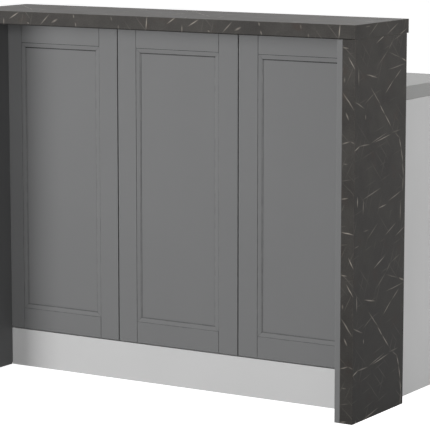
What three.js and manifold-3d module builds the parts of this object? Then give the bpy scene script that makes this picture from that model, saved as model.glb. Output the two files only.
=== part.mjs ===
// Kitchen island unit: a raised breakfast bar of dark marble-pattern boards around three framed
// grey fronts, and behind it a pale lower cabinet with two hinged doors and two drawers.
// Millimetres, +Z up. +X is to the right of someone seated at the bar, who faces +Y.
// The origin is on the floor, under the middle of the whole unit's bounding box.
import * as THREE from "three";
import { ConvexGeometry } from "three/addons/geometries/ConvexGeometry.js";
import { mergeVertices } from "three/addons/utils/BufferGeometryUtils.js";
import Module from "manifold-3d";

const wasm = await Module();
wasm.setup();

// ---------------------------------------------------------------- driving dimensions
// Module and joints
const MODULE = 400; // pitch of the fronts, doors and drawer fronts
const FRONT_GAP = 3; // dark joint between neighbouring fronts
const SEAM = 0.3; // gap left where two boards meet
const ARRIS = 0.8; // chamfer on board edges
const ROUND_SEGMENTS = 32; // flats round a turned shape
const MERGE_DISTANCE = 1e-4; // corners closer than this are one corner

// Raised bar, with Y counted from the front edge of the legs
const BAR_HEIGHT = 1060;
const TOP_THICKNESS = 38;
const TOP_FRONT_OVERHANG = 5;
const TOP_BACK_OVERHANG = 10;
const LEG_THICKNESS = 38;
const LEG_DEPTH = 292;
const LINER_THICKNESS = 16; // grey board that lines the inner face of each leg
const FRONT_SETBACK = 138; // legs' front edge to the face of the fronts
const CARRIER_THICKNESS = 16; // upright board that carries the fronts

// Framed fronts, doors and drawer fronts
const FRONT_THICKNESS = 19;
const BORDER = 62; // flat face of the stiles and rails
const STICKING_WIDTH = 14.5; // moulded band between the flat border and the panel
const STICKING_STEP = 0.8; // drop from the flat border to the band
const STICKING_SLOPE = 0.4; // further fall of the band towards its bevel
const BEVEL_WIDTH = 1.6;
const BEVEL_DEPTH = 0.8;
const LIP_THICKNESS = 3.2; // front lip that holds the loose panel
const PANEL_THICKNESS = 9;

// Plinths and cabinet
const BASE_HEIGHT = 112; // floor to the underside of the cabinet
const WORKTOP_HEIGHT = 870;
const WORKTOP_THICKNESS = 38;
const WORKTOP_OVERHANG = 19; // past the faces of the doors
const CABINET_DEPTH = 530;
const BOARD = 18; // end panels, dividers, base board, top rail and shelves
const PLINTH_THICKNESS = 16;
const PLINTH_SETBACK = 35; // cabinet's front edge to the kitchen-side plinth
const TOP_RAIL_DEPTH = 80;
const SHELF_HEIGHT = 350; // base board's top face to the shelf's underside
const SHELF_SETBACK = 20;

// Hinges: plain butt hinges with the knuckle outside the end panel
const LEAF_THICKNESS = 1;
const LEAF_CLEARANCE = 0.4; // between the two closed leaves
const LEAF_HEIGHT = 60;
const KNUCKLE_RADIUS = 3.5;
const KNUCKLES = 5;
const PIN_RADIUS = 1.5;
const PIN_CLEARANCE = 0.1;
const LEAF_ARRIS = 0.125;
const HINGE_INSET = 110; // door's end to the middle of the hinge

// Knobs
const KNOB_REACH = 24;
const KNOB_RADIUS = 15;
const KNOB_NECK_RADIUS = 6;
const KNOB_FOOT_RADIUS = 9;
const KNOB_FOOT_THICKNESS = 2;
const KNOB_FILLET = 2; // slopes between foot, neck and head
const KNOB_HEAD_START = 10.8; // door to the back of the head
const KNOB_BACK_BEVEL = 3;
const KNOB_CROWN = 4.8; // height of the crowned end
const KNOB_CROWN_SHOULDER = [2, 1.5]; // in from the rim, and down from the end
const KNOB_FLAT_RADIUS = 9; // flat middle of the crowned end
const KNOB_DROP = 95; // door's top edge to the middle of its knob

// Drawers, each hung on a strip that runs in a groove of its side
const DRAWER_NAMES = ["lower", "upper"]; // from the bottom
const DRAWER_BOARD = 16;
const DRAWER_SIDE_HEIGHT = 180;
const DRAWER_LENGTH = 480;
const DRAWER_RISE = 36; // bottom edge of the drawer front to the bottom edge of its sides
const DRAWER_SIDE_GAP = 5; // divider to drawer side
const DRAWER_BACK_HEIGHT = 150;
const DRAWER_BOTTOM = 8;
const DRAWER_BOTTOM_RISE = 10;
const RUNNER_DEPTH = 12;
const RUNNER_HEIGHT = 17;
const RUNNER_SETBACK = 8; // cabinet's front edge to the end of the runner
const GROOVE_DEPTH = 8;
const GROOVE_CLEARANCE = 0.4; // above and below the runner

// ---------------------------------------------------------------- derived places
const INNER_HALF = (3 * MODULE) / 2; // between the legs' inner faces
const OUTER_HALF = INNER_HALF + LEG_THICKNESS;
const LEG_TOP = BAR_HEIGHT - TOP_THICKNESS;
const CARRIER_FRONT = FRONT_SETBACK + FRONT_THICKNESS + SEAM;
const CABINET_BACK = CARRIER_FRONT + CARRIER_THICKNESS + SEAM;
const CABINET_FRONT = CABINET_BACK + CABINET_DEPTH;
const DOOR_GAP = 2 * (SEAM + LEAF_THICKNESS) + LEAF_CLEARANCE;
const DOOR_BACK = CABINET_FRONT + DOOR_GAP;
const DOOR_FACE = DOOR_BACK + FRONT_THICKNESS;
const KNOB_END = DOOR_FACE + KNOB_REACH;
const PANEL_HALF = INNER_HALF - SEAM; // outer faces of the end panels, the worktop and the carrier
const CABINET_INNER_HALF = PANEL_HALF - BOARD;
const CABINET_TOP = WORKTOP_HEIGHT - WORKTOP_THICKNESS;
const DOOR_HEIGHT = CABINET_TOP - BASE_HEIGHT - FRONT_GAP;
const FRONT_BOTTOM = BASE_HEIGHT + FRONT_GAP / 2;
const DRAWER_PITCH = (CABINET_TOP - BASE_HEIGHT) / DRAWER_NAMES.length;
const FRONT_WIDTH = MODULE - FRONT_GAP;
const WORKTOP_EDGE = DOOR_FACE + WORKTOP_OVERHANG;
const UNIT_FRONT = -TOP_FRONT_OVERHANG;
const UNIT_BACK = Math.max(KNOB_END, WORKTOP_EDGE, LEG_DEPTH + TOP_BACK_OVERHANG);

// ---------------------------------------------------------------- finishes
const finish = (color, roughness, metalness = 0) =>
  new THREE.MeshStandardMaterial({ color, roughness, metalness });
const MARBLE = finish(0x3d3a38, 0.35);
const GREY = finish(0x7b7c7e, 0.45);
const PALE = finish(0xcfcfce, 0.5);
const BEECH = finish(0xc8ac83, 0.6);
const STEEL = finish(0xb8babc, 0.3, 1);

// ---------------------------------------------------------------- solids
// A board between two opposite corners, with every edge chamfered.
function board([x0, y0, z0], [x1, y1, z1], arris = ARRIS) {
  const points = [];
  for (const [x, inX] of [[x0, 1], [x1, -1]])
    for (const [y, inY] of [[y0, 1], [y1, -1]])
      for (const [z, inZ] of [[z0, 1], [z1, -1]])
        points.push(
          new THREE.Vector3(x, y + inY * arris, z + inZ * arris),
          new THREE.Vector3(x + inX * arris, y, z + inZ * arris),
          new THREE.Vector3(x + inX * arris, y + inY * arris, z),
        );
  return new ConvexGeometry(points);
}

// A closed geometry as a solid for joining and cutting.
function solid(geometry) {
  const bare = geometry.index ? geometry.toNonIndexed() : geometry.clone();
  bare.deleteAttribute("normal");
  bare.deleteAttribute("uv");
  const merged = mergeVertices(bare, MERGE_DISTANCE);
  return new wasm.Manifold(
    new wasm.Mesh({
      numProp: 3,
      vertProperties: merged.attributes.position.array,
      triVerts: new Uint32Array(merged.index.array),
    }),
  );
}

// A solid back as a geometry with flat faces.
function geometryOf(made) {
  const mesh = made.getMesh();
  const indexed = new THREE.BufferGeometry()
    .setAttribute("position", new THREE.BufferAttribute(mesh.vertProperties, 3))
    .setIndex(new THREE.BufferAttribute(mesh.triVerts, 1));
  const flat = indexed.toNonIndexed();
  flat.computeVertexNormals();
  return flat;
}

const joined = (...geometries) => geometryOf(geometries.map(solid).reduce((sum, next) => sum.add(next)));

// A closed shell through rings of equally many points, each ring a list of [x, y, z],
// with a fan at either end. The rings run so that the faces point outwards.
function shell(rings) {
  const count = rings[0].length;
  const index = [];
  for (let r = 0; r + 1 < rings.length; r++)
    for (let i = 0; i < count; i++) {
      const a = r * count + i;
      const b = r * count + ((i + 1) % count);
      index.push(a, b, b + count, a, b + count, a + count);
    }
  const last = (rings.length - 1) * count;
  for (let i = 1; i + 1 < count; i++) index.push(0, i + 1, i, last, last + i, last + i + 1);
  const geometry = new THREE.BufferGeometry()
    .setAttribute("position", new THREE.Float32BufferAttribute(rings.flat(2), 3))
    .setIndex(index)
    .toNonIndexed();
  geometry.computeVertexNormals();
  return geometry;
}

// Depth of the moulded band below the flat face, at each distance from the border's inner edge.
const BAND_END = STICKING_STEP + STICKING_SLOPE;
const STICKING = [
  [0, STICKING_STEP],
  [STICKING_WIDTH - BEVEL_WIDTH, BAND_END],
  [STICKING_WIDTH, BAND_END + BEVEL_DEPTH],
];

// A one-piece framed board seen from +Y, its back on y = 0, centred on x and z.
function routedFront(width, height) {
  const ring = (inset, y) => [
    [-width / 2 + inset, y, -height / 2 + inset],
    [-width / 2 + inset, y, height / 2 - inset],
    [width / 2 - inset, y, height / 2 - inset],
    [width / 2 - inset, y, -height / 2 + inset],
  ];
  return shell([
    ring(ARRIS, 0),
    ring(0, ARRIS),
    ring(0, FRONT_THICKNESS - ARRIS),
    ring(ARRIS, FRONT_THICKNESS),
    ring(BORDER - SEAM, FRONT_THICKNESS),
    ...STICKING.map(([u, depth]) => ring(BORDER + u, FRONT_THICKNESS - depth)),
    ring(BORDER + STICKING_WIDTH + SEAM, FRONT_THICKNESS - LIP_THICKNESS - SEAM),
  ]);
}

// The moulded lip along a frame member, its ends mitred at 45 degrees. It lies along x, its
// shoulder on z = 0, its moulding towards +z and its face towards -y.
function stickingLip(length) {
  const root = -SEAM / 2; // how far the lip reaches into its member
  const back = [[STICKING_WIDTH, LIP_THICKNESS], [root, LIP_THICKNESS]];
  const section = [[root, STICKING_STEP], ...STICKING, ...back];
  const end = (side) => section.map(([u, y]) => [side * (length / 2 - u), y, u]);
  return shell([end(1), end(-1)]);
}

// A stile or rail of the given length, lying along x. Its outer edge is at z = -BORDER.
function frameMember(length, lipLength) {
  const body = board([-length / 2, 0, -BORDER], [length / 2, FRONT_THICKNESS, 0]);
  return joined(body, stickingLip(lipLength));
}

// A cylinder standing along z from z0 to z1, with its flats outside the radius when it is a bore.
function upright(radius, z0, z1, isBore = false) {
  const drawn = isBore ? radius / Math.cos(Math.PI / ROUND_SEGMENTS) : radius;
  return new THREE.CylinderGeometry(drawn, drawn, z1 - z0, ROUND_SEGMENTS)
    .rotateX(Math.PI / 2)
    .translate(0, 0, (z0 + z1) / 2);
}

// ---------------------------------------------------------------- scene graph
const island = new THREE.Group();
island.position.y = -(UNIT_FRONT + UNIT_BACK) / 2;

function add(parent, name, geometry, material) {
  const mesh = new THREE.Mesh(geometry, material);
  mesh.name = name;
  parent.add(mesh);
  return mesh;
}

function group(parent, x = 0, y = 0, z = 0) {
  const made = new THREE.Group();
  made.position.set(x, y, z);
  parent.add(made);
  return made;
}

const SIDES = [["left", -1], ["right", 1]];

// A board given for the right-hand side, or mirrored for the left.
const sided = (side, [x0, y0, z0], [x1, y1, z1], arris = ARRIS) =>
  side > 0 ? board([x0, y0, z0], [x1, y1, z1], arris) : board([-x1, y0, z0], [-x0, y1, z1], arris);

// The marble-pattern top on its two legs, with the grey boards that line them.
function buildBar(parent) {
  add(
    parent,
    "bar_top",
    board(
      [-OUTER_HALF, -TOP_FRONT_OVERHANG, LEG_TOP],
      [OUTER_HALF, LEG_DEPTH + TOP_BACK_OVERHANG, BAR_HEIGHT],
    ),
    MARBLE,
  );
  const linerOuter = INNER_HALF - SEAM;
  const linerInner = linerOuter - LINER_THICKNESS;
  for (const [name, side] of SIDES) {
    add(
      parent,
      `leg_${name}`,
      sided(side, [INNER_HALF, 0, 0], [OUTER_HALF, LEG_DEPTH, LEG_TOP - SEAM]),
      MARBLE,
    );
    add(
      parent,
      `liner_${name}`,
      sided(side, [linerInner, 0, 0], [linerOuter, FRONT_SETBACK - SEAM, LEG_TOP - SEAM]),
      GREY,
    );
  }
  add(
    parent,
    "carrier_board",
    board(
      [-PANEL_HALF, CARRIER_FRONT, 0],
      [PANEL_HALF, CARRIER_FRONT + CARRIER_THICKNESS, LEG_TOP - SEAM],
    ),
    PALE,
  );
  add(
    parent,
    "plinth_bar_side",
    board(
      [SEAM - linerInner, FRONT_SETBACK, 0],
      [linerInner - SEAM, FRONT_SETBACK + FRONT_THICKNESS, BASE_HEIGHT - FRONT_GAP / 2],
    ),
    PALE,
  );
}

// One fixed front: two stiles the full height, two rails between them and a panel behind the lips.
function buildFixedFront(parent, name, x) {
  const height = LEG_TOP - FRONT_GAP / 2 - FRONT_BOTTOM;
  const front = group(parent, x, FRONT_SETBACK, FRONT_BOTTOM + height / 2);
  const betweenStiles = FRONT_WIDTH - 2 * BORDER;
  const betweenRails = height - 2 * BORDER;
  for (const [end, side] of SIDES) {
    const geometry = frameMember(height, betweenRails - 2 * SEAM);
    const stile = add(front, `front_${name}_stile_${end}`, geometry, GREY);
    stile.rotation.y = (-side * Math.PI) / 2;
    stile.position.x = (side * betweenStiles) / 2;
  }
  for (const [end, side] of [["bottom", -1], ["top", 1]]) {
    const length = betweenStiles - 2 * SEAM;
    const rail = add(front, `front_${name}_rail_${end}`, frameMember(length, length), GREY);
    rail.rotation.y = side > 0 ? Math.PI : 0;
    rail.position.z = (side * betweenRails) / 2;
  }
  const [halfWidth, halfHeight] = [betweenStiles / 2 - SEAM, betweenRails / 2 - SEAM];
  const face = LIP_THICKNESS + SEAM;
  add(
    front,
    `front_${name}_panel`,
    board([-halfWidth, face, -halfHeight], [halfWidth, face + PANEL_THICKNESS, halfHeight]),
    GREY,
  );
}

// The pale cabinet behind the bar, with its worktop.
function buildCabinet(parent) {
  const top = CABINET_TOP - SEAM;
  const boardTop = BASE_HEIGHT + BOARD;
  const inner = CABINET_INNER_HALF - SEAM;
  const dividerInner = MODULE / 2 - BOARD / 2;
  const dividerOuter = MODULE / 2 + BOARD / 2;
  const railBack = CABINET_FRONT - TOP_RAIL_DEPTH;
  const shelfBottom = boardTop + SHELF_HEIGHT;

  for (const [name, side] of SIDES) {
    add(
      parent,
      `end_panel_${name}`,
      sided(side, [CABINET_INNER_HALF, CABINET_BACK, 0], [PANEL_HALF, CABINET_FRONT, top]),
      PALE,
    );
    const divider = sided(
      side,
      [dividerInner, CABINET_BACK, boardTop + SEAM],
      [dividerOuter, CABINET_FRONT, top],
    );
    const notch = sided(
      side,
      [dividerInner - BOARD, railBack - SEAM, top - BOARD - SEAM],
      [dividerOuter + BOARD, CABINET_FRONT + BOARD, top + BOARD],
    );
    add(parent, `divider_${name}`, geometryOf(solid(divider).subtract(solid(notch))), PALE);
    add(
      parent,
      `shelf_${name}`,
      sided(
        side,
        [dividerOuter + SEAM, CABINET_BACK, shelfBottom],
        [inner, CABINET_FRONT - SHELF_SETBACK, shelfBottom + BOARD],
      ),
      PALE,
    );
  }
  add(
    parent,
    "base_board",
    board([-inner, CABINET_BACK, BASE_HEIGHT], [inner, CABINET_FRONT, boardTop]),
    PALE,
  );
  add(parent, "top_rail", board([-inner, railBack, top - BOARD], [inner, CABINET_FRONT, top]), PALE);
  const plinthFace = CABINET_FRONT - PLINTH_SETBACK;
  add(
    parent,
    "plinth_kitchen_side",
    board([-inner, plinthFace - PLINTH_THICKNESS, 0], [inner, plinthFace, BASE_HEIGHT - SEAM]),
    PALE,
  );
  add(
    parent,
    "worktop",
    board([-PANEL_HALF, CABINET_BACK, CABINET_TOP], [PANEL_HALF, WORKTOP_EDGE, WORKTOP_HEIGHT]),
    PALE,
  );
}

// A turned knob with its foot on y = 0.
function knobGeometry() {
  const end = KNOB_REACH - SEAM;
  const [shoulderIn, shoulderDown] = KNOB_CROWN_SHOULDER;
  const profile = [
    [0, 0],
    [KNOB_FOOT_RADIUS, 0],
    [KNOB_FOOT_RADIUS, KNOB_FOOT_THICKNESS],
    [KNOB_NECK_RADIUS, KNOB_FOOT_THICKNESS + KNOB_FILLET],
    [KNOB_NECK_RADIUS, KNOB_HEAD_START - KNOB_FILLET],
    [KNOB_RADIUS - KNOB_BACK_BEVEL, KNOB_HEAD_START],
    [KNOB_RADIUS, KNOB_HEAD_START + KNOB_BACK_BEVEL],
    [KNOB_RADIUS, KNOB_REACH - KNOB_CROWN],
    [KNOB_RADIUS - shoulderIn, KNOB_REACH - shoulderDown],
    [KNOB_FLAT_RADIUS, end],
    [0, end],
  ];
  return new THREE.LatheGeometry(profile.map(([r, y]) => new THREE.Vector2(r, y)), ROUND_SEGMENTS);
}

function addKnob(parent, name, x, z) {
  add(parent, name, knobGeometry(), STEEL).position.set(x, FRONT_THICKNESS + SEAM, z);
}

// Both leaves of a butt hinge around its pin, which stands on the origin. The frame leaf lies on
// the end panel's edge and holds the pin; the door leaf lies on the door's back.
function hingeLeaves(side) {
  const pitch = LEAF_HEIGHT / KNUCKLES;
  const plateEnd = KNUCKLE_RADIUS + SEAM;
  const wall = (KNUCKLE_RADIUS + PIN_RADIUS) / 2;
  const [near, far] = [LEAF_CLEARANCE / 2, LEAF_CLEARANCE / 2 + LEAF_THICKNESS];
  const strip = (x0, x1, y0, y1, z0, z1) => sided(-side, [x0, y0, z0], [x1, y1, z1], LEAF_ARRIS);
  const leaf = (first, y0, y1, bored) => {
    let made = solid(strip(plateEnd, plateEnd + BOARD, y0, y1, -LEAF_HEIGHT / 2, LEAF_HEIGHT / 2));
    for (let i = first; i < KNUCKLES; i += 2) {
      const z0 = -LEAF_HEIGHT / 2 + i * pitch + SEAM / 2;
      const z1 = z0 + pitch - SEAM;
      made = made.add(solid(upright(KNUCKLE_RADIUS, z0, z1)));
      made = made.add(solid(strip(wall, plateEnd + LEAF_THICKNESS, y0, y1, z0, z1)));
    }
    const pin = bored
      ? upright(PIN_RADIUS + PIN_CLEARANCE, -LEAF_HEIGHT, LEAF_HEIGHT, true)
      : upright(PIN_RADIUS, -LEAF_HEIGHT / 2, LEAF_HEIGHT / 2);
    return geometryOf(bored ? made.subtract(solid(pin)) : made.add(solid(pin)));
  };
  return { frameLeaf: leaf(0, -far, -near, false), doorLeaf: leaf(1, near, far, true) };
}

// A door over an outer bay, hung on the end panel by two hinges.
function buildDoor(parent, name, side) {
  const hinges = [["lower", FRONT_BOTTOM + HINGE_INSET], ["upper", FRONT_BOTTOM + DOOR_HEIGHT - HINGE_INSET]];
  const door = group(parent, side * MODULE, DOOR_BACK, FRONT_BOTTOM + DOOR_HEIGHT / 2);
  add(door, `door_${name}`, routedFront(FRONT_WIDTH, DOOR_HEIGHT), PALE);
  addKnob(door, `door_knob_${name}`, -side * (FRONT_WIDTH / 2 - BORDER / 2), DOOR_HEIGHT / 2 - KNOB_DROP);
  const axisX = side * (PANEL_HALF + SEAM + KNUCKLE_RADIUS);
  const axisY = CABINET_FRONT + DOOR_GAP / 2;
  for (const [end, z] of hinges) {
    const hinge = group(parent, axisX, axisY, z);
    const { frameLeaf, doorLeaf } = hingeLeaves(side);
    add(hinge, `hinge_frame_leaf_${name}_${end}`, frameLeaf, STEEL);
    add(hinge, `hinge_door_leaf_${name}_${end}`, doorLeaf, STEEL);
  }
}

// One drawer of the middle bay, counted from the bottom, with the two strips that it runs on.
function buildDrawer(parent, name, level) {
  const frontHeight = DRAWER_PITCH - FRONT_GAP;
  const frontBottom = FRONT_BOTTOM + level * DRAWER_PITCH;
  const sideBottom = frontBottom + DRAWER_RISE;
  const sideTop = sideBottom + DRAWER_SIDE_HEIGHT;
  const runnerMiddle = (sideBottom + sideTop) / 2;
  const bayHalf = MODULE / 2 - BOARD / 2;
  const sideOuter = bayHalf - DRAWER_SIDE_GAP;
  const sideInner = sideOuter - DRAWER_BOARD;
  const boxFront = DOOR_BACK - SEAM;
  const boxBack = boxFront - DRAWER_LENGTH;

  const front = group(parent, 0, DOOR_BACK, frontBottom + frontHeight / 2);
  add(front, `drawer_${name}_front`, routedFront(FRONT_WIDTH, frontHeight), PALE);
  addKnob(front, `drawer_${name}_knob`, 0, frontHeight / 2 - BORDER / 2);

  for (const [end, side] of SIDES) {
    const plank = sided(side, [sideInner, boxBack, sideBottom], [sideOuter, boxFront, sideTop]);
    const halfGroove = RUNNER_HEIGHT / 2 + GROOVE_CLEARANCE;
    const groove = sided(
      side,
      [sideOuter - GROOVE_DEPTH, boxBack - DRAWER_BOARD, runnerMiddle - halfGroove],
      [sideOuter + DRAWER_BOARD, boxFront + DRAWER_BOARD, runnerMiddle + halfGroove],
    );
    add(parent, `drawer_${name}_side_${end}`, geometryOf(solid(plank).subtract(solid(groove))), BEECH);
    const runnerEnd = CABINET_FRONT - RUNNER_SETBACK;
    add(
      parent,
      `runner_${name}_${end}`,
      sided(
        side,
        [bayHalf - SEAM - RUNNER_DEPTH, runnerEnd - DRAWER_LENGTH, runnerMiddle - RUNNER_HEIGHT / 2],
        [bayHalf - SEAM, runnerEnd, runnerMiddle + RUNNER_HEIGHT / 2],
      ),
      BEECH,
    );
  }
  const inner = sideInner - SEAM;
  const bottomFace = sideBottom + DRAWER_BOTTOM_RISE;
  const backInner = boxBack + DRAWER_BOARD;
  add(
    parent,
    `drawer_${name}_back`,
    board([-inner, boxBack, bottomFace], [inner, backInner, bottomFace + DRAWER_BACK_HEIGHT]),
    BEECH,
  );
  add(
    parent,
    `drawer_${name}_bottom`,
    board([-inner, backInner + SEAM, bottomFace], [inner, boxFront, bottomFace + DRAWER_BOTTOM]),
    BEECH,
  );
}

buildBar(group(island));
["left", "middle", "right"].forEach((name, i) => buildFixedFront(group(island), name, (i - 1) * MODULE));
buildCabinet(group(island));
for (const [name, side] of SIDES) buildDoor(group(island), name, side);
DRAWER_NAMES.forEach((name, level) => buildDrawer(group(island), name, level));

export default island;
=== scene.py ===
"""Kitchen island unit: a marble-pattern bar round framed grey fronts, and a pale cabinet behind.

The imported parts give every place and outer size. The surfaces that show are worked out as numpy
grids, in metres and in the parts' own frame, and dressed in procedural finishes.
"""

import sys

import functools
import logging
import math
from dataclasses import dataclass
from enum import Enum
from typing import Any, Sequence

import bpy
import numpy as np
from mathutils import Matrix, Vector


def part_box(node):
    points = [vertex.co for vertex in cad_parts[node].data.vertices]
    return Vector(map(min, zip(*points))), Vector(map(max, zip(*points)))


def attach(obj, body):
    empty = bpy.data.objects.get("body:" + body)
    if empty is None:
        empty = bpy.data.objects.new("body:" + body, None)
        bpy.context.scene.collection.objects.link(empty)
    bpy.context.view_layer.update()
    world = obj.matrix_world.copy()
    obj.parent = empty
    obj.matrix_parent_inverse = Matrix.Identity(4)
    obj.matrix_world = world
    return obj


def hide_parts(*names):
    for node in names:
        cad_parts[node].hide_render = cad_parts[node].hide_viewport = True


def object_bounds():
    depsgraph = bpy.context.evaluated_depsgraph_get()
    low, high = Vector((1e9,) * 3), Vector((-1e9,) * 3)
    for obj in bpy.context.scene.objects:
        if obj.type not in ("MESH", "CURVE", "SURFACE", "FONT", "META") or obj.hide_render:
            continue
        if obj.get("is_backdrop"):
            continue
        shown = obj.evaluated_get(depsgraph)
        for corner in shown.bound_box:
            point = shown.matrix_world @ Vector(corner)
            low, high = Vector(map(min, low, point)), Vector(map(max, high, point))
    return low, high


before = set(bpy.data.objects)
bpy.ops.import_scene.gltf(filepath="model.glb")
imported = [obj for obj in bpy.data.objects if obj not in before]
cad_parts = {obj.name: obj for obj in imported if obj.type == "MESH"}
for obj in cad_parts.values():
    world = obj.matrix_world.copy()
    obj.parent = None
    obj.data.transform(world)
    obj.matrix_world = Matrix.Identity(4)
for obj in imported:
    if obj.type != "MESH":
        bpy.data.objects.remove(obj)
CAD_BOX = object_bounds()

Array = np.ndarray
Rows = Sequence[Sequence[float]]
Colour = tuple[float, float, float, float]
LOG = logging.getLogger("island")

MM = 0.001
WELD = 1e-7  # points closer than this are one point
TINY = 1e-9  # keeps a division away from zero
ARC_STEPS = 3  # facets in a rounded edge
QUARTER = np.linspace(0, math.pi / 2, ARC_STEPS + 1)  # angles of a quarter round
SUPPORT = 1.5 * MM  # line beside a rounded edge that keeps the flat face flat
LONG_RUN = 3 * SUPPORT  # straight runs over this get such a line at each end
CREASE = math.radians(35)  # edges that turn more than this stay sharp
SHEET_MAP = "sheet"  # UV map, in metres, of a patterned board
EDGE_FIELD = "edge"  # attribute, 1 on rounded edges and 0 on flat faces
EDGE_TURN = math.radians(7)  # turn at a point that counts as a whole edge
GROOVE_SHADE_FIELD = "groove_shade"  # attribute, how much painted shade darkens the bottom of a groove
GROOVE_SHADE_LEAST = 0.1  # painted groove shade that an upright groove, or one near the floor, gets


# ------------------------------------------------------------------------------ shapes
class Axis(Enum):
    """A direction of the frame, by its place in a point."""

    X = 0
    Y = 1
    Z = 2


@dataclass(frozen=True)
class Box:
    """The two opposite corners of a piece, in metres."""

    low: Array
    high: Array

    @staticmethod
    def of(node: str) -> "Box":
        """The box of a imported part."""
        low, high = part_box(node)
        return Box(np.array(low), np.array(high))

    @property
    def size(self) -> Array:
        """Lengths along the three axes."""
        return self.high - self.low

    @property
    def centre(self) -> Array:
        """Middle of the box."""
        return (self.low + self.high) / 2


@dataclass
class Shape:
    """A surface under construction.

    points is (n, 3), in metres, and faces holds one index array for each number of corners.
    """

    points: Array
    faces: list[Array]

    def volume(self) -> float:
        """Signed volume: a sixth of the sum of a . (b x c) over the faces' fans of triangles.

        Returns:
            The volume, which is negative where the faces point inwards.
        """
        total = 0.0
        for face in self.faces:
            corners = self.points[face]
            fans = np.cross(corners[:, 1:-1], corners[:, 2:])
            total += float(np.einsum("fk,fik->", corners[:, 0], fans)) / 6
        return total

    def outward(self) -> "Shape":
        """Turns the faces outwards.

        Returns:
            The same surface, or a copy with every face reversed.
        """
        if self.volume() >= 0:
            return self
        return Shape(self.points, [face[:, ::-1] for face in self.faces])

    def placed(self, origin: Sequence[float], axes: Rows) -> "Shape":
        """A copy whose own axes lie along the rows of axes, from origin, facing outwards."""
        points = np.asarray(origin) + self.points @ np.array(axes, float)
        return Shape(points, self.faces).outward()

    def joined(self, *others: "Shape") -> "Shape":
        """Puts shapes together, each keeping its own closed surface.

        Args:
            others: The shapes to add.

        Returns:
            One shape of them all.
        """
        points, faces = [self.points], list(self.faces)
        count = len(self.points)
        for other in others:
            points.append(other.points)
            faces += [face + count for face in other.faces]
            count += len(other.points)
        return Shape(np.concatenate(points), faces)

    def welded(self) -> "Shape":
        """Makes near points one and drops the faces that collapse.

        Returns:
            The same surface, facing outwards.
        """
        keys = np.round(self.points / WELD).astype(np.int64)
        _, first, label = np.unique(keys, axis=0, return_index=True, return_inverse=True)
        label = label.reshape(-1)
        faces = []
        for face in self.faces:
            corners = label[face]
            fresh = corners != np.roll(corners, 1, axis=1)
            counts = fresh.sum(axis=1)
            for count in np.unique(counts[counts > 2]):
                rows = counts == count
                faces.append(corners[rows][fresh[rows]].reshape(-1, count))
        return Shape(self.points[first], faces).outward()


def lattice(points: Array, closed: bool = True) -> Shape:
    """A surface through rings of points.

    Ring i, point j meets ring i + 1, point j + 1. Each ring joins up with itself, and the first
    and last ring are closed by one flat face each.

    Args:
        points: (rings, points in a ring, 3).
        closed: Whether the two end faces are made.

    Returns:
        The surface, facing outwards.
    """
    rings, around = points.shape[:2]
    index = np.arange(rings * around).reshape(rings, around)
    wrapped = np.concatenate([index, index[:, :1]], axis=1)
    corners = [wrapped[:-1, :-1], wrapped[:-1, 1:], wrapped[1:, 1:], wrapped[1:, :-1]]
    faces = [np.stack(corners, axis=-1).reshape(-1, 4)]
    if closed:
        faces += [index[:1, ::-1], index[-1:]]
    return Shape(points.reshape(-1, 3), faces).welded()


def eased(corners: Rows, radii: Sequence[float], closed: bool = True) -> Array:
    """A line of straight runs whose corners are rounded.

    A corner of radius r that turns by t starts its arc r * tan(t / 2) before the corner. The arc's
    points are its start turned about its centre by equal steps, with one more point on a long
    straight run at either side of it.

    Args:
        corners: (n, 2) points of the sharp line.
        radii: Radius of each corner.
        closed: Whether the last corner joins the first.

    Returns:
        (m, 2) points of the eased line, each different from the one before.
    """
    sharp = np.asarray(corners, dtype=float)
    radius = np.asarray(radii, dtype=float)
    before, after = np.roll(sharp, 1, axis=0), np.roll(sharp, -1, axis=0)
    if not closed:
        before[0] = 2 * sharp[0] - sharp[1]
        after[-1] = 2 * sharp[-1] - sharp[-2]
    run = np.linalg.norm(after - sharp, axis=1)
    come = (sharp - before) / np.linalg.norm(sharp - before, axis=1)[:, None]
    leave = (after - sharp) / run[:, None]
    cross = come[:, 0] * leave[:, 1] - come[:, 1] * leave[:, 0]
    turn = np.arctan2(cross, (come * leave).sum(axis=1))
    reach = radius * np.tan(np.abs(turn) / 2)
    start = sharp - come * reach[:, None]
    end = sharp + leave * reach[:, None]
    left = np.stack([-come[:, 1], come[:, 0]], axis=1)
    centre = start + left * (radius * np.sign(turn))[:, None]
    angle = turn[:, None] * np.linspace(0, 1, ARC_STEPS + 1)
    arm = (start - centre)[:, None, :]
    cos, sin = np.cos(angle), np.sin(angle)
    swung = [cos * arm[..., 0] - sin * arm[..., 1], sin * arm[..., 0] + cos * arm[..., 1]]
    arc = centre[:, None, :] + np.stack(swung, axis=-1)
    margin = np.where(run - reach - np.roll(reach, -1) > LONG_RUN, SUPPORT, 0.0)
    lead = start - come * np.roll(margin, 1)[:, None]
    trail = end + leave * margin[:, None]
    line = np.concatenate([lead[:, None], arc, trail[:, None]], axis=1)
    if not closed:
        line[0], line[-1] = sharp[0], sharp[-1]
    line = line.reshape(-1, 2)
    gap = np.linalg.norm(line - np.roll(line, 1, axis=0), axis=1)
    return line[gap > WELD]


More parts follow.
